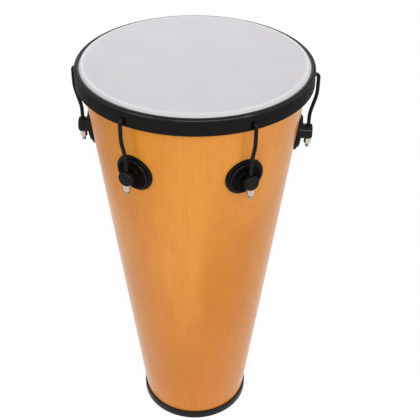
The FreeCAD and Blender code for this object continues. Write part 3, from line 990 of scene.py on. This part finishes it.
@dataclass
class Shell:
    """The tapered wooden wall and the moulded ring that it stands in."""

    foot_radius: float = 93.4 * MM
    top_radius: float = 178.6 * MM
    wall: float = 7.0 * MM
    bearing_round: float = 5.0 * MM
    bearing_bevel: float = 1.0 * MM
    hole_radius: float = 3.15 * MM
    ring_floor: float = 3.0 * MM
    ring_lip: float = 10.0 * MM
    ring_lip_wall: float = 2.5 * MM
    ring_round: float = 1.6 * MM
    ring_rim_round: float = 0.3 * MM
    ring_lip_round: float = 0.4 * MM
    seat: float = 0.1 * MM
    steps: int = 256
    hole_sides: int = 24

    def __post_init__(self) -> None:
        """Take heights and the ring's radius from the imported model."""
        low, high = span("shell")
        self.foot, self.top = low.z, high.z
        low, high = span("foot_ring")
        self.ring_radius, self.ring_top = high.x, high.z
        self.slope = (self.top_radius - self.foot_radius) / (self.top - self.foot)
        self.tilt = math.atan(self.slope)
        self.level_wall = self.wall * math.hypot(1, self.slope)

    def outside(self, height: float) -> float:
        """The outer radius at a height."""
        return self.foot_radius + (height - self.foot) * self.slope

    def inside(self, height: float) -> float:
        """The inner radius at a height."""
        return self.outside(height) - self.level_wall

    def is_bare(self, middle: Vector, normal: Vector) -> bool:
        """Whether a face has no veneer: it doesn't face out, or is on the bearing edge."""
        out = normal.dot(middle * Vector((1, 1, 0)))
        return out <= 0 or middle.z > self.top - self.bearing_round

    def build_wall(self, lug_height: float) -> None:
        """Make the wooden wall, veneered outside and bare inside.

        Args:
            lug_height: How high its screw holes are.
        """
        foot, top, bevel_foot = self.foot, self.top, self.top - self.bearing_bevel
        wall = lathe((
            Corner(self.inside(foot), foot), Corner(self.outside(foot), foot),
            Corner(self.top_radius, top, self.bearing_round),
            Corner(self.inside(top) + self.bearing_bevel, top),
            Corner(self.inside(bevel_foot), bevel_foot),
        ), self.steps, rings=6)
        wall = drilled(wall, self.hole_radius, 6 * self.wall, self.hole_sides,
                       turned(QUARTER + self.tilt), shifted(self.outside(lug_height), lug_height))
        zone(wall, self.is_bare)
        put_piece(wall, "shell_wall", "shell", "drum", "shell_wood", VENEER, PLY)

    def build_ring(self) -> None:
        """Make the moulded channel under the foot edge."""
        bore = self.inside(self.foot) - self.seat - self.ring_lip_wall
        top, lip, edge = self.ring_top, self.ring_lip, self.ring_lip_round
        ring = lathe((
            Corner(bore, 0, edge), Corner(self.ring_radius, 0, self.ring_round),
            Corner(self.ring_radius, top, self.ring_round),
            Corner(self.outside(top) + self.seat, top, self.ring_rim_round),
            Corner(self.foot_radius + self.seat, self.ring_floor),
            Corner(self.inside(self.foot) - self.seat, self.ring_floor),
            Corner(self.inside(lip) - self.seat, lip, edge), Corner(bore, lip, edge),
        ), self.steps)
        put_piece(ring, "foot_ring_moulding", "foot_ring", "drum", "ring_rubber", RING_MOULDING)


# Head and counter hoop

@dataclass
class Head:
    """The film, its flesh hoop and the bead that holds it there."""

    film: float = 0.4 * MM
    shoulder: float = 6.4 * MM
    film_gap: float = 0.15 * MM
    channel_wall: float = 0.9 * MM
    channel_round: float = 0.35 * MM
    bead_drop: float = 0.5 * MM
    bead_gap: float = 0.1 * MM
    steps: int = 256

    def __post_init__(self) -> None:
        """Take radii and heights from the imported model."""
        low, high = span("head_film")
        self.radius, self.top, self.foot = high.x, high.z, low.z
        low, high = span("head_hoop")
        self.channel_out, self.channel_top, self.channel_foot = high.x, high.z, low.z
        self.channel_in = self.radius - self.film - self.film_gap - self.channel_wall
        self.floor = self.channel_foot + self.channel_wall
        self.channel_inside = self.channel_out - self.channel_wall

    def build_film(self) -> None:
        """Make one skin: flat, rounded over the shoulder, and down into the channel."""
        inner, under = self.radius - self.film, self.top - self.film
        film = lathe((
            Corner(0, under), Corner(inner, under, self.shoulder - self.film),
            Corner(inner, self.foot), Corner(self.radius, self.foot),
            Corner(self.radius, self.top, self.shoulder), Corner(0, self.top),
        ), self.steps, rings=8)
        put_piece(film, "head_skin", "head_film", "head_assembly", "film", FILM)

    def build_channel(self) -> None:
        """Make the rolled aluminium channel round the film's edge."""
        low, high, edge = self.channel_foot, self.channel_top, self.channel_round
        outer, inner = self.channel_inside, self.channel_in + self.channel_wall
        channel = lathe((
            Corner(self.channel_in, low, edge), Corner(self.channel_out, low, edge),
            Corner(self.channel_out, high, edge), Corner(outer, high, edge),
            Corner(outer, self.floor), Corner(inner, self.floor),
            Corner(inner, high, edge), Corner(self.channel_in, high, edge),
        ), self.steps, rings=3)
        put_piece(channel, "flesh_hoop_channel", "head_hoop", "head_assembly", "flesh_hoop",
                  MILL_ALUMINIUM)

    def build_bead(self) -> None:
        """Make the cast bead that fills the channel outside the film."""
        outer, inner = self.channel_inside - self.bead_gap, self.radius + self.bead_gap
        top = self.channel_top - self.bead_drop
        bead = lathe((Corner(inner, self.floor), Corner(outer, self.floor), Corner(outer, top),
                      Corner(inner, top)), self.steps)
        put_piece(bead, "flesh_hoop_bead", "head_bead", "head_assembly", "bead_resin", BEAD_RESIN)


@dataclass
class CounterHoop:
    """The black steel hoop: a band, a lip turned in, and a punched hole for each hook."""

    wall: float = 2.5 * MM
    lip_play: float = 0.5 * MM
    outer_round: float = 4.0 * MM
    edge_round: float = 0.7 * MM
    hole_radius: float = 3.25 * MM
    steps: int = 288
    hole_sides: int = 32

    def build(self, head: Head, hook_height: float) -> None:
        """Make the hoop.

        Args:
            head: The head that it lies over.
            hook_height: The height of the hooks' legs, which its holes take.
        """
        low, high = span("counter_hoop")
        lip, bore, under = head.radius + self.lip_play, high.x - self.wall, high.z - self.wall
        edge = self.edge_round
        hoop = lathe((
            Corner(lip, under, edge), Corner(bore, under, self.outer_round - self.wall),
            Corner(bore, low.z, edge), Corner(high.x, low.z, edge),
            Corner(high.x, high.z, self.outer_round), Corner(lip, high.z, edge),
        ), self.steps, rings=5)
        hoop = drilled(hoop, self.hole_radius, 8 * self.wall, self.hole_sides, turned(QUARTER),
                       shifted(high.x, hook_height))
        put_piece(hoop, "counter_hoop_steel", "counter_hoop", "head_assembly", "hoop_coat", HOOP_COAT)


# Hooks and nuts

class Wire:
    """A round wire that starts upwards and is drawn on from its open end."""

    def __init__(self, radius: float, start: Vector, sides: int) -> None:
        """Start with a level ring.

        Args:
            radius: The wire's radius.
            start: The ring's middle.
            sides: Faces round the wire.
        """
        self.bm, self.start = bmesh.new(), start
        bmesh.ops.create_circle(self.bm, cap_ends=False, segments=sides, radius=radius,
                                matrix=Matrix.Translation(start))
        self.ring = self.bm.edges[:]

    def straight(self, move: Vector, flare: float = 1.0) -> None:
        """Draw a straight.

        Args:
            move: How far and which way.
            flare: How many times wider it ends, where it goes up.
        """
        made = bmesh.ops.extrude_edge_only(self.bm, edges=self.ring)["geom"]
        verts = [item for item in made if isinstance(item, BMVert)]
        if flare != 1:
            middle = sum((vert.co for vert in verts), Vector()) / len(verts)
            bmesh.ops.scale(self.bm, verts=verts, vec=(flare, flare, 1),
                            space=Matrix.Translation(-middle))
        bmesh.ops.translate(self.bm, verts=verts, vec=move)
        self.ring = [item for item in made if isinstance(item, BMEdge)
                     and all(vert in verts for vert in item.verts)]

    def curve(self, centre: Vector, angle: float, steps: int) -> None:
        """Draw a bend about the Y axis.

        Args:
            centre: The bend's centre.
            angle: How far it turns.
            steps: Faces along it.
        """
        made = bmesh.ops.spin(self.bm, geom=self.ring, cent=centre, axis=ASIDE, angle=angle,
                              steps=steps)["geom_last"]
        self.ring = [item for item in made if isinstance(item, BMEdge)]

    def closed(self, last: Vector, tip: float, taper: float) -> BMesh:
        """Close both ends with a short taper.

        Args:
            last: Which way the wire's last end points.
            tip: How long each taper is.
            taper: How many times narrower it ends.

        Returns:
            The closed mesh.
        """
        bmesh.ops.holes_fill(self.bm, edges=[edge for edge in self.bm.edges if edge.is_boundary])
        for cap in [face for face in self.bm.faces if len(face.verts) > 4]:
            low = cap.calc_center_median().z < self.start.z + WELD
            step = (-UP if low else last) * tip
            for face in bmesh.ops.extrude_discrete_faces(self.bm, faces=[cap])["faces"]:
                middle = face.calc_center_median()
                bmesh.ops.translate(self.bm, verts=face.verts, vec=step)
                bmesh.ops.scale(self.bm, verts=face.verts, vec=(taper, taper, taper),
                                space=Matrix.Translation(-middle - step))
        bmesh.ops.recalc_face_normals(self.bm, faces=self.bm.faces)
        return self.bm


@dataclass
class Hook:
    """A bent hook: threaded end, S bend, straight run, upper bend and leg."""

    bend: float = 5.0 * MM
    sway_drop: float = 40.0 * MM
    sway_straight: float = 17.8 * MM
    sway_radius: float = 70.0 * MM
    leg_end_radius: float = 179.4 * MM
    tip_round: float = 0.6 * MM
    tip_taper: float = 0.8
    pitch: float = 1.0 * MM
    tooth_share: float = 0.46
    crest_share: float = 0.08
    thread_depth: float = 0.55 * MM
    thread_root: float = 0.05 * MM
    thread_length: float = 30.0 * MM
    thread_steps: int = 24
    sides: int = 32
    bend_steps: int = 12

    def __post_init__(self) -> None:
        """Take the rod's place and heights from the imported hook, nut and hoop."""
        low, high = span("tension_hook_1")
        self.radius = (high.y - low.y) / 2
        self.place = rod_place()
        self.foot = low.z
        self.thread_top = self.foot + self.thread_length
        self.leg_height = high.z - self.radius
        self.run = high.x - self.radius
        self.hoop_top = span("counter_hoop")[1].z

    def sway(self) -> Pair:
        """Work out the S, which brings the run in over the rod.

        Returns:
            How far each of its bends turns, and how high it is.
        """
        aside = self.run - self.place
        twice = 2 * self.sway_radius
        slanted = math.hypot(twice, self.sway_straight)
        turn = math.acos((twice - aside) / slanted) - math.atan2(self.sway_straight, twice)
        return turn, twice * math.sin(turn) + self.sway_straight * math.cos(turn)

    def shaft(self) -> BMesh:
        """Draw the plain wire, from the root of its thread to the end of its leg.

        Returns:
            The closed mesh.
        """
        core = self.radius - self.thread_depth
        wire = Wire(core, Vector((self.place, 0, self.foot + self.tip_round)), self.sides)
        wire.straight(UP * (self.thread_top - self.foot - self.tip_round))
        wire.straight(UP * self.thread_depth, self.radius / core)
        turn, height = self.sway()
        upper = self.hoop_top - self.sway_drop
        lower = upper - height
        crown = self.leg_height - self.bend
        slant = Vector((math.sin(turn), 0, math.cos(turn)))
        wire.straight(UP * (lower - self.thread_top - self.thread_depth))
        wire.curve(Vector((self.place + self.sway_radius, 0, lower)), turn, self.bend_steps)
        wire.straight(slant * self.sway_straight)
        wire.curve(Vector((self.run - self.sway_radius, 0, upper)), -turn, self.bend_steps)
        wire.straight(UP * (crown - upper))
        wire.curve(Vector((self.run - self.bend, 0, crown)), -QUARTER, self.bend_steps)
        wire.straight(ACROSS * -(self.run - self.bend - self.leg_end_radius - self.tip_round))
        return wire.closed(-ACROSS, self.tip_round, self.tip_taper)

    def thread(self) -> BMesh:
        """Spin a small tooth up the rod as the thread's ridge.

        Returns:
            The ridge.
        """
        bm = bmesh.new()
        root = self.radius - self.thread_depth - self.thread_root
        half, crest = self.tooth_share * self.pitch, self.crest_share * self.pitch
        start = self.foot + self.tip_round + half
        shape = ((root, -half), (self.radius, -crest), (self.radius, crest), (root, half))
        bm.faces.new([bm.verts.new((self.place + out, 0, start + up)) for out, up in shape])
        turns = (self.thread_length - self.tip_round - 2 * half) / self.pitch
        steps = round(turns * self.thread_steps)
        bmesh.ops.spin(bm, geom=bm.verts[:] + bm.edges[:] + bm.faces[:],
                       cent=(self.place, 0, 0), axis=UP, dvec=UP * (self.pitch / self.thread_steps),
                       angle=TURN * steps / self.thread_steps, steps=steps)
        bmesh.ops.recalc_face_normals(bm, faces=bm.faces)
        return bm

    def build(self) -> None:
        """Make all the hooks, each bare metal on its thread."""
        for place in range(PLACES):
            hook = merged(self.shaft(), self.thread())
            zone(hook, lambda middle, _: middle.z < self.thread_top and middle.x < self.run)
            put_piece(moved(hook, at_place(place)), f"hook_rod_{place + 1}",
                      f"tension_hook_{place + 1}", "head_assembly", "hook_coat", HOOK_COAT,
                      BARE_THREAD)


@dataclass
class Nut:
    """A tuning nut and the washer above it."""

    flats: float = 10.0 * MM
    bore: float = 3.06 * MM
    bore_bevel: float = 0.5 * MM
    corner_drop: float = 0.55 * MM
    face_inset: float = 0.15 * MM
    washer_radius: float = 6.3 * MM
    washer_bore: float = 3.5 * MM
    washer_round: float = 0.25 * MM
    steps: int = 64
    washer_steps: int = 48

    def __post_init__(self) -> None:
        """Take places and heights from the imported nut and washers."""
        low, high = span("tension_nut_1")
        self.foot, self.top = low.z, high.z
        low, high = span("tension_washers")
        self.washer_foot, self.washer_top = low.z, high.z
        self.home = shifted(rod_place())

    def hexagon(self) -> BMesh:
        """Draw the nut: a turned blank kept inside a hexagonal bar.

        Returns:
            The closed mesh, round the origin's axis.
        """
        low, high, drop = self.foot, self.top, self.corner_drop
        mouth = self.bore + self.bore_bevel
        face, corner = self.flats / 2 - self.face_inset, self.flats / math.sqrt(3)
        blank = lathe((
            Corner(self.bore, low + self.bore_bevel), Corner(mouth, low), Corner(face, low),
            Corner(corner, low + drop), Corner(corner, high - drop), Corner(face, high),
            Corner(mouth, high), Corner(self.bore, high - self.bore_bevel),
        ), self.steps)
        bar = rod(corner, high - low + 2 * drop, 6, low - drop)
        return combined(blank, moved(bar, turned(math.pi / 6, "Z")), Join.KEEP)

    def washer(self) -> BMesh:
        """Draw the washer at the first place.

        Returns:
            The closed mesh.
        """
        low, high, edge = self.washer_foot, self.washer_top, self.washer_round
        ring = lathe((
            Corner(self.washer_bore, low, edge), Corner(self.washer_radius, low, edge),
            Corner(self.washer_radius, high, edge), Corner(self.washer_bore, high, edge),
        ), self.washer_steps, rings=2)
        return moved(ring, self.home)

    def build(self) -> None:
        """Make all the nuts, and one piece for the washers."""
        for place in range(PLACES):
            put_piece(moved(self.hexagon(), self.home, at_place(place)),
                      f"tuning_nut_{place + 1}", f"tension_nut_{place + 1}", f"nut_{place + 1}",
                      "nut_plate", ZINC)
        put_piece(all_round(self.washer), "tuning_washers", "tension_washers", "drum", "zinc", ZINC)


# Lugs

@dataclass
class Lug:
    """A cast lug: flange square to the shell, level post, rod hole, pad, screw and washer."""

    pad_radius: float = 31.0 * MM
    pad: float = 3.0 * MM
    pad_round: float = 1.8 * MM
    pad_depth: float = 0.9
    pad_gap: float = 0.1 * MM
    cone_tries: int = 6
    flange_radius: float = 26.5 * MM
    flange: float = 3.6 * MM
    flange_round: float = 2.0 * MM
    back_round: float = 0.4 * MM
    post_radius: float = 12.2 * MM
    post_round: float = 3.0 * MM
    fillet: float = 2.4 * MM
    face_normal: float = 0.4
    rod_hole: float = 3.5 * MM
    flat_height: float = 11.0 * MM
    flat_radius: float = 6.9 * MM
    bore: float = 3.15 * MM
    screw_radius: float = 3.0 * MM
    screw_depth: float = 9.0 * MM
    head_radius: float = 5.6 * MM
    head_height: float = 3.8 * MM
    head_round: float = 2.4 * MM
    recess: float = 1.1 * MM
    washer_radius: float = 10.0 * MM
    washer: float = 1.5 * MM
    washer_round: float = 0.2 * MM
    washer_gap: float = 0.3 * MM
    sides: int = 96
    hole_sides: int = 40
    bore_sides: int = 32
    screw_steps: int = 48
    washer_steps: int = 64

    def __post_init__(self) -> None:
        """Take the lug's height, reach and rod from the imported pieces."""
        shell = Shell()
        self.height = span("tension_washers")[1].z + self.flat_height
        self.seat = shell.outside(self.height)
        self.tilt = shell.tilt
        self.reach = span("lug_1")[1].x - self.seat
        self.rod_reach = rod_place() - self.seat
        inner = shell.inside(self.height)
        hollow = inner - math.sqrt(inner**2 - self.washer_radius**2)
        self.inner_face = -shell.wall - hollow - self.washer_gap
        self.screw_seat = self.inner_face - self.washer

    def home(self, place: int, tilt: float = 0.0) -> Matrix:
        """Where a piece drawn about the lug's seat goes, level or leaning."""
        return at_place(place) @ shifted(self.seat, self.height) @ turned(tilt)

    def leaned(self, point: Vector) -> Vector:
        """Lean the flange of the straight casting under its level post.

        Args:
            point: A point of the turned casting, drawn along X.

        Returns:
            The point turned with the flange, drawn along the post from the flange's leaning face,
            or left where it is.
        """
        front = self.pad + self.flange
        off_axis = math.hypot(point.y, point.z)
        if point.x < front - WELD or off_axis > self.post_radius + self.fillet + WELD:
            return turned(self.tilt) @ point
        rise = point.x - front
        if rise > self.fillet + WELD:
            return point
        face = (front + point.z * math.sin(self.tilt)) / math.cos(self.tilt)
        return Vector((face + rise, point.y, point.z))

    def casting(self) -> BMesh:
        """Draw flange and post as one closed skin, bored for the rod and the screw.

        Returns:
            The closed mesh.
        """
        back, front = self.pad, self.pad + self.flange
        body = lathe((
            Corner(0, back), Corner(self.flange_radius, back, self.back_round),
            Corner(self.flange_radius, front, self.flange_round),
            Corner(self.post_radius, front, self.fillet),
            Corner(self.post_radius, self.reach, self.post_round), Corner(0, self.reach),
        ), self.sides, axis=ACROSS, rings=6)
        for vert in body.verts:
            vert.co = self.leaned(vert.co)
        hole = rod(self.rod_hole, 4 * self.post_radius, self.hole_sides, -2 * self.post_radius)
        flat = rod(self.flat_radius, self.post_radius, self.hole_sides,
                   -self.flat_height - self.post_radius)
        for tool in (hole, flat):
            body = combined(body, moved(tool, shifted(self.rod_reach)))
        screw = rod(self.bore, self.pad + self.screw_depth, self.bore_sides, 0)
        return combined(body, moved(screw, turned(QUARTER), turned(self.tilt)))

    def is_face(self, middle: Vector, normal: Vector) -> bool:
        """Whether a face is on the flange's flat front or the fillet at the post's foot."""
        off_axis, edge = math.hypot(middle.y, middle.z), self.flange_radius - self.flange_round
        return normal.x > self.face_normal and self.post_radius + WELD < off_axis < edge

    def cushion(self) -> BMesh:
        """Draw the pad: a disc whose back follows the shell's cone.

        Returns:
            The closed mesh.
        """
        back = -self.pad_depth * self.pad_radius
        disc = lathe((
            Corner(self.bore, back), Corner(self.pad_radius, back),
            Corner(self.pad_radius, self.pad, self.pad_round), Corner(self.bore, self.pad),
        ), self.sides * 2, axis=ACROSS, rings=5)
        for vert in disc.verts:
            if vert.co.x < back + WELD:
                vert.co.x = self.on_cone(vert.co)
        bmesh.ops.recalc_face_normals(disc, faces=disc.faces)
        return disc

    def on_cone(self, point: Vector) -> float:
        """Find where a line square to the seat meets the shell, by a few steps towards it.

        Args:
            point: A point of the line.

        Returns:
            How far from the seat it is.
        """
        depth, slope = 0.0, math.tan(self.tilt)
        for _ in range(self.cone_tries):
            there = turned(self.tilt) @ Vector((depth, point.y, point.z)) + ACROSS * self.seat
            over = math.hypot(there.x, there.y) - (self.seat + slope * there.z) - self.pad_gap
            depth -= over * math.cos(self.tilt)
        return depth

    def screw(self) -> BMesh:
        """Draw the screw: domed head with a cross recess, and shank into the lug.

        Returns:
            The closed mesh.
        """
        seat, top = self.screw_seat, self.screw_seat - self.head_height
        end = self.pad + self.screw_depth
        body = lathe((
            Corner(0, top), Corner(self.head_radius, top, self.head_round),
            Corner(self.head_radius, seat), Corner(self.screw_radius, seat),
            Corner(self.screw_radius, end), Corner(0, end),
        ), self.screw_steps, axis=ACROSS, rings=5)
        for turn in (0, QUARTER):
            blade = bmesh.new()
            bmesh.ops.create_cube(blade, size=1.0)
            bmesh.ops.scale(blade, verts=blade.verts,
                            vec=(self.head_height, self.head_radius, self.recess))
            body = combined(body, moved(blade, shifted(top), turned(turn, "X")))
        return body

    def inner_ring(self) -> BMesh:
        """Draw the wide washer inside the shell.

        Returns:
            The closed mesh.
        """
        back, front, edge = self.screw_seat, self.inner_face, self.washer_round
        return lathe((
            Corner(self.bore, back, edge), Corner(self.washer_radius, back, edge),
            Corner(self.washer_radius, front, edge), Corner(self.bore, front),
        ), self.washer_steps, axis=ACROSS, rings=2)

    def build(self) -> None:
        """Make all the lugs and pads, and one piece each for screws and washers."""
        screws, washers = bmesh.new(), bmesh.new()
        for place in range(PLACES):
            number, leaning = place + 1, self.home(place, self.tilt)
            casting = self.casting()
            zone(casting, self.is_face)
            put_piece(moved(casting, self.home(place)), f"lug_casting_{number}", f"lug_{number}",
                      "drum", "lug_coat", LUG_COAT, LUG_FACE)
            put_piece(moved(self.cushion(), leaning), f"lug_cushion_{number}",
                      f"lug_pad_{number}", "drum", "pad_rubber", PAD_RUBBER)
            merged(screws, moved(self.screw(), leaning))
            merged(washers, moved(self.inner_ring(), leaning))
        put_piece(screws, "fixing_screws", "lug_screws", "drum", "zinc", ZINC)
        put_piece(washers, "fixing_washers", "lug_screw_washers", "drum", "zinc", ZINC)


# Studio

@dataclass(frozen=True)
class Lamp:
    """One soft lamp that faces the drum."""

    name: str
    place: Three
    width: float
    height: float
    power: float


@dataclass(frozen=True)
class Studio:
    """Pale floor, soft lamps and the camera at the photograph's angle."""

    floor_size: float = 30.0
    world_light: float = 0.42
    aim: Three = (0.0, 0.0, 0.42)
    lamps: tuple[Lamp, ...] = (
        Lamp("key", (0.7, -2.7, 2.3), 3.0, 0.7, 37.0),
        Lamp("left", (-2.1, -2.0, 2.0), 1.3, 0.6, 12.0),
        Lamp("right", (2.3, -1.9, 2.0), 0.45, 0.9, 11.0),
        Lamp("back", (-0.3, 2.6, 2.4), 2.2, 2.0, 46.0),
    )
    camera_place: Three = (0.07552, -1.23479, 1.28030)
    camera_heading: float = math.radians(-2.304)
    camera_pitch: float = math.radians(34.894)
    camera_roll: float = math.radians(0.721)
    lens: float = 74.566
    sensor: float = 36.0

    def build_floor(self) -> None:
        """Make a wide sheet of paper."""
        bm = bmesh.new()
        bmesh.ops.create_grid(bm, x_segments=1, y_segments=1, size=self.floor_size / 2)
        mesh = meshed("floor", bm)
        mesh.materials.append(FloorPaper("floor paper").material())
        floor = linked("floor", mesh)

    def build_world(self) -> None:
        """Make it white to the camera and in reflections, and dimmer as a light."""
        world = bpy.data.worlds.new("studio")
        bpy.context.scene.world = world
        world.use_nodes = True
        graph = Graph(world.node_tree)
        strength = graph.between(graph.seen(), self.world_light, 1.0)
        graph.feed(graph.first("BACKGROUND"), {"Color": (1, 1, 1, 1), "Strength": strength})

    def build_lamps(self) -> None:
        """Turn flat soft lamps to the drum's middle."""
        for lamp in self.lamps:
            light = bpy.data.lights.new(lamp.name, "AREA")
            light.shape = "RECTANGLE"
            light.size, light.size_y = lamp.width, lamp.height
            light.energy = lamp.power
            holder = linked(lamp.name, light)
            holder.location = lamp.place
            aim = Vector(self.aim) - holder.location
            holder.rotation_euler = aim.to_track_quat("-Z", "Y").to_euler()

    def build_camera(self) -> None:
        """Put the camera where the photograph's was."""
        camera = bpy.data.cameras.new("camera")
        camera.lens, camera.sensor_width = self.lens, self.sensor
        holder = linked("camera", camera)
        look = (turned(-self.camera_heading, "Z") @ turned(QUARTER - self.camera_pitch, "X")
                @ turned(self.camera_roll, "Z"))
        holder.matrix_world = Matrix.Translation(self.camera_place) @ look
        bpy.context.scene.camera = holder

    def build(self) -> None:
        """Set the view and everything round the drum."""
        bpy.context.scene.view_settings.view_transform = "Standard"
        self.build_floor()
        self.build_world()
        self.build_lamps()
        self.build_camera()


def main() -> None:
    """Build the studio and then the drum, from the ground up."""
    logging.basicConfig(level=logging.INFO, format="%(name)s %(message)s")
    Studio().build()
    shell, head, hook, lug = Shell(), Head(), Hook(), Lug()
    shell.build_wall(lug.height)
    shell.build_ring()
    head.build_film()
    head.build_channel()
    head.build_bead()
    CounterHoop().build(head, hook.leg_height)
    hook.build()
    Nut().build()
    lug.build()


if __name__ == "__main__":
    main()
